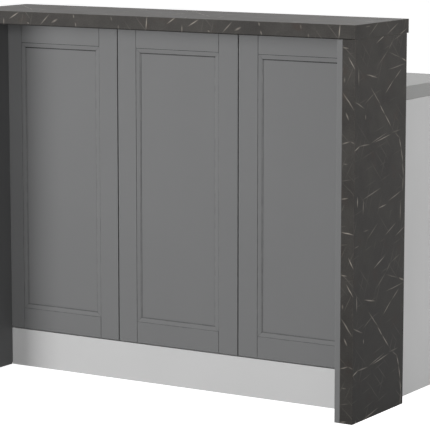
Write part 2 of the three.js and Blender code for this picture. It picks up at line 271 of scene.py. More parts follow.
def board(box: Box, radius: float) -> Shape:
    """A board with rounded edges.

    Each side is a grid. A grid point p goes to q + radius * (p - q) / |p - q|, where q is p
    clamped to the box shrunk by radius, so edges are quarter rounds and corners are parts of a
    sphere.

    Args:
        box: The board's outer box.
        radius: Radius of the edges.

    Returns:
        The closed surface.
    """
    half = box.size / 2
    core = half - radius
    ease = radius * np.tan(np.linspace(0, math.pi / 4, ARC_STEPS + 1))
    lines = []
    for inner in core:
        side = np.concatenate([[inner - min(SUPPORT, inner / 2)], inner + ease])
        lines.append(np.concatenate([-side[::-1], side]))
    shape = Shape(np.zeros((0, 3)), [])
    for a in range(3):
        u, v = (a + 1) % 3, (a + 2) % 3
        grid = np.zeros((len(lines[u]), len(lines[v]), 3))
        grid[..., u], grid[..., v] = np.meshgrid(lines[u], lines[v], indexing="ij")
        index = np.arange(grid.shape[0] * grid.shape[1]).reshape(grid.shape[:2])
        quads = np.stack([index[:-1, :-1], index[1:, :-1], index[1:, 1:], index[:-1, 1:]], axis=-1)
        for sign in (-1, 1):
            grid[..., a] = sign * half[a]
            nearest = grid.clip(-core, core)
            arm = grid - nearest
            rounded = nearest + radius * arm / np.linalg.norm(arm, axis=-1, keepdims=True)
            faces = quads.reshape(-1, 4)[:, ::sign]
            shape = shape.joined(Shape(rounded.reshape(-1, 3) + box.centre, [faces]))
    return shape.welded()


def drawn_in(outline: Array, by: float) -> Array:
    """Moves an outline inwards: each corner by its two edges' normals' sum over 1 + their dot.

    Args:
        outline: (n, 2) closed outline, anticlockwise.
        by: How far each edge moves.

    Returns:
        (n, 2) points of the smaller outline.
    """
    edge = np.roll(outline, -1, axis=0) - outline
    normal = np.stack([-edge[:, 1], edge[:, 0]], axis=1)
    normal /= np.linalg.norm(normal, axis=1, keepdims=True)
    last = np.roll(normal, 1, axis=0)
    return outline + by * (normal + last) / (1 + (normal * last).sum(axis=1, keepdims=True))


def prism(outline: Array, low: float, high: float, radius: float, support: float = 0.0) -> Shape:
    """An outline carried along its third axis, with its two ends' edges rounded.

    At an angle t of the end's quarter round, the ring is the outline drawn in by
    radius * (1 - sin t) and lies radius * (1 - cos t) from the end. One more ring further in keeps
    the end face flat, and one past the round keeps the sides flat.

    Args:
        outline: (n, 2) closed outline, anticlockwise.
        low: Start along the third axis.
        high: End along the third axis.
        radius: Radius of the end edges.
        support: How far the last ring is inside the round one.

    Returns:
        The closed surface, its own axes being the outline's two and the way it is carried.
    """
    margin = min(SUPPORT, (high - low) / 4)
    inset = np.array([radius + support, *(radius * (1 - np.sin(QUARTER))), 0.0])
    rise = np.array([0.0, *(radius * (1 - np.cos(QUARTER))), radius + margin])
    insets = np.append(inset, inset[::-1])
    heights = np.append(low + rise, high - rise[::-1])
    rings = [np.column_stack([drawn_in(outline, by), np.full(len(outline), at)])
             for by, at in zip(insets, heights)]
    return lattice(np.stack(rings))


def turned(profile: Array, around: int) -> Shape:
    """A profile of (radius, height) turned about its own third axis.

    Point j of a ring is (radius * cos, radius * sin, height) at j whole shares of a turn.

    Args:
        profile: (n, 2) radii and heights, starting and ending at radius 0.
        around: Points in a whole turn.

    Returns:
        The closed surface.
    """
    angle = np.linspace(0, 2 * math.pi, around, endpoint=False)
    radius, height = profile[:, :1], profile[:, 1:]
    ring = [radius * np.cos(angle), radius * np.sin(angle), height + 0 * angle]
    return lattice(np.stack(ring, axis=-1), closed=False)


# ------------------------------------------------------------------------------ materials
def srgb(red: float, green: float, blue: float) -> Colour:
    """A colour written as 0 to 255 on screen, as the linear colour that a shader takes.

    Args:
        red: Red on screen.
        green: Green on screen.
        blue: Blue on screen.

    Returns:
        Linear red, green, blue and a full alpha.
    """
    screen = np.array([red, green, blue]) / 255
    linear = np.where(screen <= 0.04045, screen / 12.92, ((screen + 0.055) / 1.055) ** 2.4)
    return (*linear.tolist(), 1.0)


def shaded(colour: Colour, share: float) -> Colour:
    """A linear colour made darker or lighter by a share."""
    return (*(channel * share for channel in colour[:3]), 1.0)


class Value:
    """A node's output that takes part in Python arithmetic."""

    def __init__(self, recipe: "Recipe", output: bpy.types.NodeSocket) -> None:
        """Wraps one output of a recipe's node."""
        self.recipe, self.output = recipe, output

    def _math(self, operation: str, first: Any, second: Any = 0.0) -> "Value":
        """One Math node on up to two values."""
        return self.recipe.value("Math", {"operation": operation}, {0: first, 1: second})

    def __add__(self, other: Any) -> "Value":
        """self + other."""
        return self._math("ADD", self, other)

    __radd__ = __add__

    def __sub__(self, other: Any) -> "Value":
        """self - other."""
        return self._math("SUBTRACT", self, other)

    def __rsub__(self, other: Any) -> "Value":
        """other - self."""
        return self._math("SUBTRACT", other, self)

    def __mul__(self, other: Any) -> "Value":
        """self * other."""
        return self._math("MULTIPLY", self, other)

    __rmul__ = __mul__

    def __truediv__(self, other: Any) -> "Value":
        """self / other."""
        return self._math("DIVIDE", self, other)

    def __abs__(self) -> "Value":
        """The value without its sign."""
        return self._math("ABSOLUTE", self)

    def below(self, limit: float) -> "Value":
        """1 where the value is under a limit, else 0."""
        return self._math("LESS_THAN", self, limit)

    def most(self, other: Any) -> "Value":
        """The larger of two values."""
        return self._math("MAXIMUM", self, other)

    def clamped(self) -> "Value":
        """The value held between 0 and 1."""
        return self.recipe.value("Clamp", {}, {"Value": self})

    def spread(self, low: float, high: float) -> "Value":
        """The value's share of the way from low to high, held between 0 and 1."""
        return ((self - low) / (high - low)).clamped()


class Recipe:
    """The nodes of a material or a world while they are put together."""

    def __init__(self, owner: bpy.types.ID) -> None:
        """Empties the owner's node tree.

        Args:
            owner: A material or a world.
        """
        owner.use_nodes = True
        self.owner, self.tree = owner, owner.node_tree
        self.tree.nodes.clear()

    @staticmethod
    def named(name: str) -> "Recipe":
        """A recipe for a new material."""
        return Recipe(bpy.data.materials.new(name))

    def node(self, kind: str, settings: dict[str, Any], sockets: dict[Any, Any]) -> bpy.types.Node:
        """Adds a node: its settings first, then its sockets.

        Args:
            kind: The node's type without its ShaderNode prefix.
            settings: Properties by name.
            sockets: Inputs by name or number, each a plain value or a Value to link.

        Returns:
            The new node.
        """
        made = self.tree.nodes.new("ShaderNode" + kind)
        for key, setting in settings.items():
            setattr(made, key, setting)
        for key, given in sockets.items():
            if isinstance(given, Value):
                self.tree.links.new(given.output, made.inputs[key])
            else:
                made.inputs[key].default_value = given
        return made

    def value(self, kind: str, settings: dict, sockets: dict, output: Any = 0) -> Value:
        """Adds a node and gives one of its outputs."""
        return Value(self, self.node(kind, settings, sockets).outputs[output])

    def parts(self, kind: str, whole: Value) -> list[Value]:
        """The channels of a vector (XYZ) or a colour (Color)."""
        return [Value(self, out) for out in self.node("Separate" + kind, {}, {0: whole}).outputs]

    def place(self) -> Value:
        """The point in the piece's own coordinates, in metres."""
        return self.value("TexCoord", {}, {}, "Object")

    def field(self, name: str) -> Value:
        """A number that mark_edges keeps on the mesh."""
        return self.value("Attribute", {"attribute_name": name}, {}, "Fac")

    def noise(self, at: Value, scale: float, detail: float = 2.0, rough: float = 0.5) -> Value:
        """Smooth noise round 0.5, of scale features in a metre."""
        sockets = {"Vector": at, "Scale": scale, "Detail": detail, "Roughness": rough}
        return self.value("TexNoise", {}, sockets)

    def grain(self, along: Axis, lengthways: float, across: float, detail: float) -> Value:
        """Noise that is drawn out along one axis.

        Args:
            along: The axis that the grain follows.
            lengthways: Features in a metre along it.
            across: Features in a metre across it.
            detail: Octaves of the noise.

        Returns:
            The grain, round 0.5.
        """
        scale = tuple(lengthways if axis is along else across for axis in Axis)
        stretched = self.value("Mapping", {}, {"Vector": self.place(), "Scale": scale})
        return self.noise(stretched, 1.0, detail)

    def mixed(self, share: Any, first: Any, second: Any) -> Value:
        """Two colours mixed by a share."""
        return self.value("Mix", {"data_type": "RGBA"}, {0: share, 6: first, 7: second}, 2)

    def bump(self, height: Value, depth: float, strength: float) -> Value:
        """A normal raised by a height of 0 to 1 over a depth in metres."""
        sockets = {"Height": height, "Distance": depth, "Strength": strength}
        return self.value("Bump", {}, sockets)

    def ended(self, kind: str, shader: Value) -> Any:
        """Puts a shader on the surface of a Material or World output, and gives the owner."""
        self.node("Output" + kind, {}, {0: shader})
        return self.owner

    def finished(self, **sockets: Any) -> bpy.types.Material:
        """Ends the material in one Principled shader whose sockets are given by plain names."""
        named = {key.replace("_", " "): given for key, given in sockets.items()}
        return self.ended("Material", self.value("BsdfPrincipled", {}, named))


@dataclass(frozen=True)
class Lacquer:
    """A sprayed or foiled satin board, with a faint orange peel, softly rubbed edges and painted
    shade in its grooves.
    """

    name: str
    slot: str
    colour: Colour
    roughness: float = 0.5
    specular: float = 0.2
    groove_shade: float = 1.7  # painted shade at the bottoms of the grooves
    peel: float = 0.02 * MM
    cloud: float = 0.02
    rub: float = 0.04
    worn: Colour = srgb(235, 235, 232)

    def material(self) -> bpy.types.Material:
        """Mixes the finish.

        Returns:
            The finish as a material.
        """
        r = Recipe.named(self.name)
        at = r.place()
        light, dark = shaded(self.colour, 1 + self.cloud), shaded(self.colour, 1 - self.cloud)
        base = r.mixed(r.noise(at, 3.5).spread(0.3, 0.7), dark, light)
        rubbed = r.field(EDGE_FIELD) * r.noise(at, 40.0).spread(0.35, 0.65)
        base = r.mixed(rubbed * self.rub, base, self.worn)
        # painted shade: the bottoms of grooves are mixed towards near black
        base = r.mixed(self.groove_shade * r.field(GROOVE_SHADE_FIELD), base, shaded(self.colour, 0.05))
        return r.finished(
            Base_Color=base,
            Roughness=self.roughness - 0.03 + 0.06 * r.noise(at, 14.0, 3.0) - 0.06 * rubbed,
            Specular_IOR_Level=self.specular,
            Normal=r.bump(r.noise(at, 420.0, 1.0), self.peel, 0.6),
        )


@dataclass(frozen=True)
class Worktop:
    """A plain grey laminate with a fine speckle and a pebbled face."""

    slot: str = "worktop_laminate"
    colour: Colour = srgb(166, 166, 165)
    roughness: float = 0.5
    specular: float = 0.15

    def material(self) -> bpy.types.Material:
        """Mixes the finish.

        Returns:
            The finish as a material.
        """
        r = Recipe.named(self.slot)
        at = r.place()
        speckle = r.noise(at, 900.0, 2.0, 0.7).spread(0.42, 0.58)
        cloud = r.noise(at, 5.0, 3.0).spread(0.3, 0.7)
        base = r.mixed(speckle, shaded(self.colour, 0.95), shaded(self.colour, 1.05))
        base = r.mixed(0.15 * cloud, base, shaded(self.colour, 0.9))
        base = r.mixed(0.25 * r.field(EDGE_FIELD), base, shaded(self.colour, 0.8))
        return r.finished(
            Base_Color=base,
            Roughness=self.roughness - 0.04 + 0.08 * cloud,
            Specular_IOR_Level=self.specular,
            Normal=r.bump(r.noise(at, 1100.0, 1.0), 0.03 * MM, 0.7),
        )


class Strength(Enum):
    """How brightly a vein stands out."""

    BRIGHT = 1.0
    PLAIN = 0.62
    FAINT = 0.34


@dataclass(frozen=True)
class Vein:
    """One straight vein of the sheet's pattern, in millimetres.

    x runs across the sheet and y along it. The vein goes from (x0, y0) to (x1, y1).
    """

    x0: float
    y0: float
    x1: float
    y1: float
    strength: Strength = Strength.PLAIN
    half_width: float = 2.2


BRIGHT, PLAIN, FAINT = Strength.BRIGHT, Strength.PLAIN, Strength.FAINT

# Veins of the broad face, along the sheet from 550 to 1150, where the print repeats
FACE_VEINS = (
    Vein(58, 928, 128, 914, BRIGHT), Vein(18, 950, 20, 898, PLAIN, 3.0),
    Vein(111, 1004, 181, 1032, BRIGHT), Vein(124, 945, 187, 986, FAINT, 3.0),
    Vein(184, 983, 213, 1011, FAINT, 3.0), Vein(211, 1007, 268, 1023, FAINT),
    Vein(184, 979, 263, 956, FAINT), Vein(258, 958, 296, 945, BRIGHT, 2.6),
    Vein(178, 931, 294, 941, PLAIN, 1.8), Vein(168, 868, 221, 905, BRIGHT, 2.0),
    Vein(217, 901, 264, 929, PLAIN, 2.6), Vein(83, 894, 147, 838, PLAIN, 2.4),
    Vein(136, 844, 170, 811, BRIGHT, 2.4), Vein(164, 817, 207, 775, BRIGHT, 2.4),
    Vein(52, 850, 113, 877, FAINT), Vein(-4, 862, 56, 838), Vein(59, 824, 60, 808, PLAIN, 2.8),
    Vein(-6, 730, 32, 743, BRIGHT, 2.4), Vein(18, 742, 90, 742),
    Vein(84, 742, 186, 764, PLAIN, 1.8), Vein(106, 743, 208, 757, BRIGHT, 1.8),
    Vein(204, 760, 264, 764, FAINT), Vein(222, 762, 262, 738, FAINT),
    Vein(252, 744, 267, 710, BRIGHT, 2.4), Vein(264, 718, 277, 668, BRIGHT, 2.0),
    Vein(274, 676, 281, 630, BRIGHT, 1.8), Vein(280, 640, 276, 590, PLAIN, 2.6),
    Vein(188, 576, 275, 597), Vein(133, 564, 186, 570, BRIGHT), Vein(42, 597, 154, 619),
    Vein(18, 611, 19, 579, BRIGHT, 3.0), Vein(51, 600, 50, 556, PLAIN, 2.6),
    Vein(266, 574, 264, 508, PLAIN, 2.8), Vein(266, 1174, 264, 1108, PLAIN, 2.8),
    Vein(172, 1084, 244, 1114), Vein(234, 1075, 296, 1097), Vein(50, 1112, 86, 1114, FAINT),
    Vein(70, 1086, 139, 1128, FAINT, 2.6), Vein(0, 1075, 32, 1078, FAINT),
)

# Veins of the narrow band on an upright board, by the distance from its inner face
UPRIGHT_VEINS = (
    Vein(-2, 1001, 19, 999), Vein(16, 979, 39, 942, BRIGHT, 1.8),
    Vein(0, 886, 37, 836, PLAIN, 2.4), Vein(10, 833, 21, 811, PLAIN, 2.8),
    Vein(6, 924, 6, 908, FAINT, 3.0), Vein(-3, 747, 26, 757), Vein(24, 757, 40, 750, FAINT),
    Vein(3, 696, 19, 696, FAINT), Vein(-4, 602, 22, 607), Vein(-3, 1116, 41, 1110, BRIGHT, 2.0),
    Vein(21, 1050, 39, 1018, BRIGHT, 1.8),
)

# Veins of the narrow band on the lying board, by the height above its underside
LYING_VEINS = (
    Vein(36, -124, 22, -121, FAINT, 3.0), Vein(13, -100, 0, -99, FAINT, 3.0),
    Vein(42, -5, 0, -9, BRIGHT, 2.2), Vein(20, 58, 41, 90, BRIGHT, 2.0),
    Vein(21, 108, -2, 108, PLAIN, 2.4), Vein(16, 126, 38, 164, BRIGHT, 2.2),
    Vein(8, 189, 5, 198, PLAIN, 2.6), Vein(2, 234, 36, 269, PLAIN, 2.2),
    Vein(10, 273, 22, 297, PLAIN, 3.6), Vein(37, 349, 25, 352, PLAIN, 2.6),
    Vein(15, 355, 1, 359, PLAIN, 2.6),
)


@dataclass(frozen=True)
class MarbleLaminate:
    """A dark marble-pattern laminate: clouded stone with straight pale veins, in repeats.

    It has painted shade, darker towards the floor, and a painted shadow line under the top's front
    edge.
    """

    slot: str = "marble_laminate"
    repeat: float = 600 * MM
    face_start: float = 550 * MM
    lying_start: float = -200 * MM
    upright_band: float = 400 * MM  # where narrow strips lie, across the sheet
    lying_band: float = 500 * MM
    broad: float = 350 * MM  # the broad face's veins end before this
    dark: Colour = srgb(52, 50, 49)
    light: Colour = srgb(79, 77, 74)
    vein: Colour = srgb(163, 156, 147)
    rust: Colour = srgb(74, 60, 54)
    # colour of the painted shade and of the painted shadow line
    black: Colour = (0.0, 0.0, 0.0, 1.0)
    roughness: float = 0.45
    specular: float = 0.05
    foot_shade: float = 0.25  # share of painted shade, darker from the top down, on narrow bands
    face_shade: float = 0.3  # more painted shade that the broad face gets on top of that
    edge_shadow_width: float = 2.4 * MM  # width of the painted shadow line along the lower edge of the top's front band
    hairs: tuple = ((25, (110, 26), 0.13), (-48, (130, 34), 0.41), (78, (80, 48), 0.77))

    def strokes(self, r: Recipe, at: Value) -> Value:
        """The placed veins.

        Each is strength * (1 - the point's distance from the vein's middle, measured in half
        lengths along it and half widths across it), and the strongest counts.

        Args:
            r: The recipe.
            at: The point on the sheet.

        Returns:
            How much vein there is, 0 to 1.
        """
        bands = (
            (FACE_VEINS, 0.0, self.face_start),
            (UPRIGHT_VEINS, self.upright_band, self.face_start),
            (LYING_VEINS, self.lying_band, self.lying_start),
        )
        total = None
        for veins, band, start in bands:
            for vein in veins:
                ends = np.array([[vein.x0, vein.y0], [vein.x1, vein.y1]]) * MM
                middle = ends.mean(axis=0) + [band, -start]
                run = ends[1] - ends[0]
                sockets = {
                    "Location": (middle[1], middle[0], 0.0),
                    "Rotation": (0.0, 0.0, math.atan2(run[0], run[1])),
                    "Scale": (float(np.linalg.norm(run)) / 2, vein.half_width * MM, 1.0),
                    "Vector": at,
                }
                local = r.value("Mapping", {"vector_type": "TEXTURE"}, sockets)
                length = r.value("VectorMath", {"operation": "LENGTH"}, {0: local}, "Value")
                stroke = vein.strength.value * (1 - length)
                total = stroke if total is None else total.most(stroke)
        return total.clamped()

    def scatter(self, r: Recipe, at: Value, turn: float, cell: tuple, seed: float) -> Value:
        """Short random veins in one direction.

        The plane is turned and cut into cells, and each cell draws its own vein's place, length
        and strength from white noise on the cell's number.

        Args:
            r: The recipe.
            at: The point on the sheet.
            turn: Direction, in degrees.
            cell: Length and width of a cell, in millimetres.
            seed: Shift of the cells.

        Returns:
            How much vein there is, 0 to 1.
        """
        sockets = {
            "Rotation": (0.0, 0.0, math.radians(turn)),
            "Scale": (cell[0] * MM, cell[1] * MM, 1.0),
            "Location": (seed, 0.3 * seed, 0.0),
            "Vector": at,
        }
        grid = r.value("Mapping", {"vector_type": "TEXTURE"}, sockets)
        number = r.value("VectorMath", {"operation": "FLOOR"}, {0: grid})
        within = r.value("VectorMath", {"operation": "FRACTION"}, {0: grid})
        dice = r.value("TexWhiteNoise", {"noise_dimensions": "2D"}, {"Vector": number}, "Color")
        share = r.parts("Color", dice)
        x, y, _ = r.parts("XYZ", within)
        along = 1 - abs(x - 0.5) / (0.18 + 0.3 * share[0])
        across = 1 - abs(y - (0.3 + 0.4 * share[1])) * (cell[1] / 2.0)
        shown = share[2].below(0.45) * (0.35 + 1.2 * share[2])
        return along.clamped() * across.clamped() * shown

    def material(self) -> bpy.types.Material:
        """Mixes the finish.

        Returns:
            The finish as a material.
        """
        r = Recipe.named(self.slot)
        flat = r.value("UVMap", {"uv_map": SHEET_MAP}, {}, "UV")
        along, across, _ = r.parts("XYZ", flat)
        wrapped = r.value("Math", {"operation": "WRAP"}, {0: along, 1: self.repeat, 2: 0.0})
        drift = 3.0 * MM * (r.noise(flat, 30.0) - 0.5)
        at = r.value("CombineXYZ", {}, {0: wrapped + drift, 1: across + drift})
        veins = self.strokes(r, at) * (0.75 + 0.5 * r.noise(flat, 90.0, 3.0, 0.6))
        hair = functools.reduce(Value.most, [self.scatter(r, at, *kind) for kind in self.hairs])
        cloud = r.noise(flat, 9.0, 4.0, 0.6).spread(0.3, 0.7)
        grit = r.noise(flat, 260.0, 3.0, 0.65).spread(0.3, 0.7)
        stain = r.noise(flat, 14.0, 3.0, 0.6).spread(0.58, 0.72)
        base = r.mixed(0.65 * cloud + 0.35 * grit, self.dark, self.light)
        base = r.mixed(0.35 * stain, base, self.rust)
        # painted shade: darker towards the bottom, more on the broad face
        painted_shade = self.foot_shade + self.face_shade * across.below(self.broad)
        drop = 1 - r.parts("XYZ", r.place())[2].spread(0.1, 0.95)
        base = r.mixed(painted_shade * drop, base, self.black)
        # painted shadow line along the lower edge of the top's front band
        edge_shadow = abs(across - self.lying_band).below(self.edge_shadow_width)
        base = r.mixed(0.9 * edge_shadow, base, self.black)
        base = r.mixed(veins.most(0.2 * hair).clamped(), base, self.vein)
        base = r.mixed(0.12 * r.field(EDGE_FIELD) * grit, base, self.vein)
        return r.finished(
            Base_Color=base,
            Roughness=self.roughness - 0.04 + 0.08 * cloud,
            Specular_IOR_Level=self.specular,
            Normal=r.bump(grit, 0.03 * MM, 0.6),
        )


@dataclass(frozen=True)
class Beech:
    """Clear-lacquered beech: straight grain, faint growth bands and short dark flecks."""

    along: Axis
    slot: str = "beech"
    light: Colour = srgb(214, 184, 146)
    dark: Colour = srgb(190, 155, 115)
    fleck: Colour = srgb(150, 112, 78)

    def material(self) -> bpy.types.Material:
        """Mixes the finish.

        Returns:
            The finish as a material.
        """
        r = Recipe.named(f"beech_along_{self.along.name.lower()}")
        band = r.grain(self.along, 1.2, 22.0, 3.0)
        grain = r.grain(self.along, 12.0, 420.0, 3.0)
        fleck = r.grain(self.along, 110.0, 900.0, 1.0)
        base = r.mixed(band.spread(0.35, 0.65), self.light, self.dark)
        base = r.mixed(0.25 * grain, base, self.dark)
        base = r.mixed(0.6 * fleck.spread(0.62, 0.72), base, self.fleck)
        base = r.mixed(0.2 * r.field(EDGE_FIELD), base, self.light)
        return r.finished(
            Base_Color=base,
            Roughness=0.42 + 0.12 * grain,
            Specular_IOR_Level=0.4,
            Normal=r.bump(grain, 0.03 * MM, 0.5),
        )


@dataclass(frozen=True)
class Steel:
    """Satin steel, brushed along one axis."""

    along: Axis
    slot: str = "steel"
    colour: Colour = srgb(172, 172, 170)
    roughness: float = 0.3

    def material(self) -> bpy.types.Material:
        """Mixes the finish.

        Returns:
            The finish as a material.
        """
        r = Recipe.named(f"steel_brushed_{self.along.name.lower()}")
        brushed = r.grain(self.along, 60.0, 3000.0, 2.0)
        return r.finished(
            Base_Color=r.mixed(brushed, shaded(self.colour, 0.9), shaded(self.colour, 1.05)),
            Metallic=1.0,
            Roughness=self.roughness - 0.06 + 0.12 * brushed,
            Normal=r.bump(brushed, 0.01 * MM, 0.4),
        )


@dataclass(frozen=True)
class Finishes:
    """Every finish of the unit."""

    grey: Lacquer = Lacquer("grey_lacquer", "grey_lacquer", srgb(109, 109.5, 110))
    pale: Lacquer = Lacquer("pale_lacquer", "pale_lacquer", srgb(211, 211, 211), 0.5, 0.3, 0.5)
    # painted shade: a darker copy of the pale lacquer for the plinths
    plinth: Lacquer = Lacquer("pale_lacquer_shaded", "pale_lacquer", srgb(198, 198, 198), 0.55, 0.3)
    worktop: Worktop = Worktop()
    marble: MarbleLaminate = MarbleLaminate()
    beech_deep: Beech = Beech(Axis.Y)
    beech_wide: Beech = Beech(Axis.X)
    steel: Steel = Steel(Axis.Z)


FINISH = Finishes()


@functools.cache
def paint(finish: Any) -> bpy.types.Material:
    """The one material of a finish, made on first use."""
    return finish.material()


# ------------------------------------------------------------------------------ making pieces
@dataclass(frozen=True)
class Sheet:
    """How a patterned sheet lies on a board: its long way, and where each side's band starts."""

    length: Axis  # the board's own long axis
    length_from: float
    edge_band: float  # added across the sheet on the narrow sides
    edge_from: float  # the coordinate where that band starts
    end_shift: float = 0.11  # added along the sheet on the board's ends


def read(items: Any, name: str, width: int = 1, kind: type = np.float32) -> Array:
    """Reads one property of each vertex, edge, face or corner of a mesh.

    Args:
        items: The mesh's vertices, edges, polygons or loops.
        name: The property.
        width: Numbers in one item's property.
        kind: Their type.

    Returns:
        One number for each item, or one row where width is more than 1.
    """
    values = np.empty(len(items) * width, dtype=kind)
    items.foreach_get(name, values)
    return values if width == 1 else values.reshape(-1, width)


def corners_of(mesh: bpy.types.Mesh) -> tuple[Array, Array]:
    """Vertex and polygon numbers of a mesh's face corners."""
    total = read(mesh.polygons, "loop_total", 1, np.int32)
    return read(mesh.loops, "vertex_index", 1, np.int32), np.repeat(np.arange(len(total)), total)


def keep(mesh: bpy.types.Mesh, name: str, values: Array) -> None:
    """Keeps a number of 0 to 1 for each vertex as an attribute."""
    kept = mesh.attributes.new(name, "FLOAT", "POINT")
    kept.data.foreach_set("value", values.clip(0, 1).astype(np.float32))


def paint_groove_shade(mesh: bpy.types.Mesh, pair: Array, normal: Array, sharp: Array) -> None:
    """Notes painted shade for the bottoms of grooves in an attribute.

    An edge is a groove bottom where it is sharp and its second face's centre lies on the outer
    side of the first. Its painted shade counts by the square of how level it runs times its height
    over the model's, because level grooves high up are the ones that little light reaches.

    Args:
        mesh: The mesh.
        pair: (edges, 2) polygon numbers.
        normal: (polygons, 3) normals.
        sharp: Whether each edge is sharp.
    """
    centre = read(mesh.polygons, "center", 3)
    point = read(mesh.vertices, "co", 3).astype(float)
    ends = read(mesh.edges, "vertices", 2, np.int32)
    rise = ((centre[pair[:, 1]] - centre[pair[:, 0]]) * normal[pair[:, 0]]).sum(axis=1)
    run = point[ends[:, 1]] - point[ends[:, 0]]
    level = (run[:, 0] / np.linalg.norm(run, axis=1).clip(TINY)) ** 2
    height = point[ends, 2].mean(axis=1) / CAD_BOX[1][2]
    depth = GROOVE_SHADE_LEAST + (1 - GROOVE_SHADE_LEAST) * level * height
    groove_shade = np.zeros(len(point))
    chosen = sharp & (rise > 0)
    np.maximum.at(groove_shade, ends[chosen], depth[chosen][:, None])
    keep(mesh, GROOVE_SHADE_FIELD, groove_shade)


def mark_edges(mesh: bpy.types.Mesh) -> None:
    """Keeps sharp edges sharp, and notes in attributes the rounded edges and the painted shade of
    grooves.

    An edge stays sharp where its two faces' normals turn by more than CREASE. A vertex counts as
    rounded by its largest turn from the mean of its faces' normals, over EDGE_TURN.

    Args:
        mesh: The mesh, closed, so that each edge has two faces.
    """
    vertex, polygon = corners_of(mesh)
    normal = read(mesh.polygons, "normal", 3).astype(float)
    order = np.argsort(read(mesh.loops, "edge_index", 1, np.int32), kind="stable")
    pair = polygon[order].reshape(-1, 2)
    sharp = (normal[pair[:, 0]] * normal[pair[:, 1]]).sum(axis=1) < math.cos(CREASE)
    mesh.attributes.new("sharp_edge", "BOOLEAN", "EDGE").data.foreach_set("value", sharp)
    paint_groove_shade(mesh, pair, normal, sharp)
    mean = np.zeros((len(mesh.vertices), 3))
    np.add.at(mean, vertex, normal[polygon])
    mean /= np.linalg.norm(mean, axis=1, keepdims=True).clip(TINY)
    turn = np.arccos((mean[vertex] * normal[polygon]).sum(axis=1).clip(-1, 1))
    most = np.zeros(len(mesh.vertices))
    np.maximum.at(most, vertex, turn)
    keep(mesh, EDGE_FIELD, most / EDGE_TURN)


def lay_sheet(mesh: bpy.types.Mesh, sheet: Sheet) -> None:
    """Lays the patterned sheet on a board as a UV map in metres.

    Along the sheet is the board's long axis. Across it is the depth on broad sides, and the short
    way on the narrow sides at the front and back, moved into the band of narrow strips.

    Args:
        mesh: The board's mesh.
        sheet: How the sheet lies on it.
    """
    vertex, polygon = corners_of(mesh)
    point = read(mesh.vertices, "co", 3)[vertex]
    facing = np.abs(read(mesh.polygons, "normal", 3)).argmax(axis=1)[polygon]
    front = Box.of("leg_right").low[Axis.Y.value]
    reach = np.abs(point[:, 0]) if sheet.length is Axis.Z else point[:, Axis.Z.value]
    narrow = reach - sheet.edge_from + sheet.edge_band
    across = np.where(facing == Axis.Y.value, narrow, point[:, 1] - front)
    along = point[:, sheet.length.value] - sheet.length_from
    along = np.where(facing == sheet.length.value, reach + sheet.end_shift, along)
    layer = mesh.uv_layers.new(name=SHEET_MAP)
    layer.uv.foreach_set("vector", np.stack([along, across], axis=1).astype(np.float32).ravel())


def make(
    name: str,
    shape: Shape,
    finish: Any,
    body: str,
    nodes: Sequence[str] = (),
    sheet: Sheet | None = None,
) -> None:
    """Makes a finished piece of a shape, and gives it its finish, body and parts.

    Args:
        name: The piece's name.
        shape: Its closed surface.
        finish: One of the finishes.
        body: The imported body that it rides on.
        nodes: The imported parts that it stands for.
        sheet: How a patterned sheet lies on it, if it has one.
    """
    mesh = bpy.data.meshes.new(name)
    mesh.from_pydata(shape.points, [], [row for face in shape.faces for row in face.tolist()])
    mesh.update()
    mesh.polygons.foreach_set("use_smooth", [True] * len(mesh.polygons))
    mark_edges(mesh)
    if sheet is not None:
        lay_sheet(mesh, sheet)
    mesh.materials.append(paint(finish))
    piece = bpy.data.objects.new(name, mesh)
    bpy.context.scene.collection.objects.link(piece)
    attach(piece, body)
    if nodes:
        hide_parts(*nodes)
    LOG.info("%s: %d faces on %s, %s", name, len(mesh.polygons), body, finish.slot)


def dress_board(
    node: str, finish: Any, body: str, radius: float, sheet: Sheet | None = None
) -> None:
    """Replaces a plain packed board by one with rounded edges in the same box."""
    make(f"{node}_board", board(Box.of(node), radius), finish, body, [node], sheet)


# ------------------------------------------------------------------------------ sub-assemblies
SIDES = (("left", -1), ("right", 1))
ISLAND = "island"


@dataclass
class Bar:
    """The marble-pattern top on its two slab legs, and the grey boards that line them."""

    edge: float = 0.4 * MM
    liner_edge: float = 0.8 * MM
    end_shifts: tuple[float, float] = (0.37, 0.11)  # of the sheet on the two legs' ends

    def build(self) -> None:
        """Makes the five boards."""
        marble = FINISH.marble
        under = float(Box.of("bar_top").low[2])
        lying = Sheet(Axis.X, marble.lying_start, marble.lying_band, under)
        dress_board("bar_top", marble, ISLAND, self.edge, lying)
        inner = float(abs(Box.of("leg_right").low[0]))
        for (name, _), shift in zip(SIDES, self.end_shifts):
            upright = Sheet(Axis.Z, marble.face_start, marble.upright_band, inner, shift)
            dress_board(f"leg_{name}", marble, ISLAND, self.edge, upright)
            dress_board(f"liner_{name}", FINISH.grey, ISLAND, self.liner_edge)


@dataclass
class Moulding:
    """Section of a framed front, by the distance from the flat border's inner edge.

    A sunk line parts the flat border from the band, and another parts the band from the field.
    """

    width: float = 14.5 * MM
    line: float = 1.4 * MM
    line_depth: float = 1.4 * MM
    step: float = 0.9 * MM
    band: float = 11.2 * MM
    band_depth: float = 1.7 * MM
    inner_line_depth: float = 2.4 * MM
    bead: float = 0.2 * MM
    lip: float = 3.2 * MM
    field_gap: float = 0.3 * MM
    field_margin: float = 25 * MM
    arris: float = 0.8 * MM
    soft: float = 0.2 * MM

    def corners(self) -> tuple[list[list[float]], list[float]]:
        """The moulded edge from the flat face inwards.

        Returns:
            Its corners, as distance and depth, and their radii.
        """
        floor, bead = self.inner_line_depth, self.width - self.bead
        corners = [
            [-self.line, 0.0], [-self.line, self.line_depth], [0.0, self.line_depth],
            [0.0, self.step], [self.band, self.band_depth], [self.band, floor],
            [bead, floor], [bead, floor - self.bead], [self.width, floor - self.bead],
        ]
        return corners, [self.soft, 0.0, 0.0, self.soft, self.soft, 0.0, 0.0, 0.0, 0.0]


